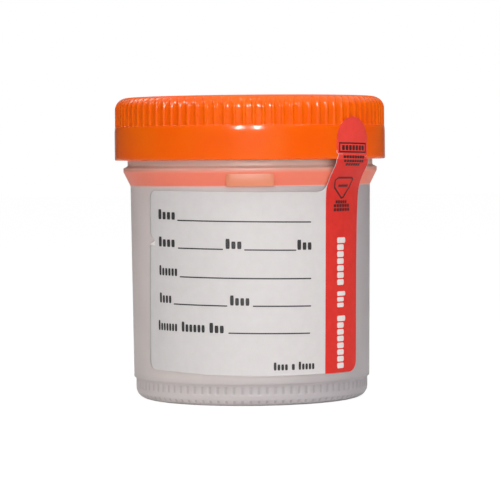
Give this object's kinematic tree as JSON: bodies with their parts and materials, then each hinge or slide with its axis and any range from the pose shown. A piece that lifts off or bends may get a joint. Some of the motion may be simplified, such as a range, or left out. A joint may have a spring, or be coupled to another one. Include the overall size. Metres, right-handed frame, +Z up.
{
  "type": "specimen container",
  "caption": "Screw-cap specimen container: translucent cup with flared collar, ribbed orange cap, sealing disc and a paper label whose strip runs on to the cap.",
  "frame": {"origin": "centre of the standing face under the cup", "axes": "+Z up along the cup's axis, -Y out of the front of the label, +X to the right seen from the front"},
  "size_m": [0.066, 0.066, 0.0731],
  "materials": {
    "cup_plastic": "frosted natural polypropylene",
    "cap_plastic": "satin orange polyethylene",
    "disc_foam": "soft white polyethylene",
    "label_paper": "coated white paper",
    "seal_film": "coated paper printed red"
  },
  "bodies": {
    "cup": {"cup": "cup_plastic", "label": "label_paper"},
    "disc": {"sealing_disc": "disc_foam"},
    "cap": {"cap": "cap_plastic", "seal_tab": "seal_film"}
  },
  "joints": [
    {"name": "cap_lift", "type": "slide", "parent": "cup", "child": "disc", "axis": [0, 0, 1], "range_m": [0, 0.016]},
    {"name": "cap_turn", "type": "hinge", "parent": "disc", "child": "cap", "pos_m": [0, 0, 0.0707], "axis": [0, 0, 1], "range_deg": [0, 720]}
  ],
  "couplings": [
    {"joint": "cap_turn", "follows": "cap_lift", "rad_per_m": 785.4}
  ]
}
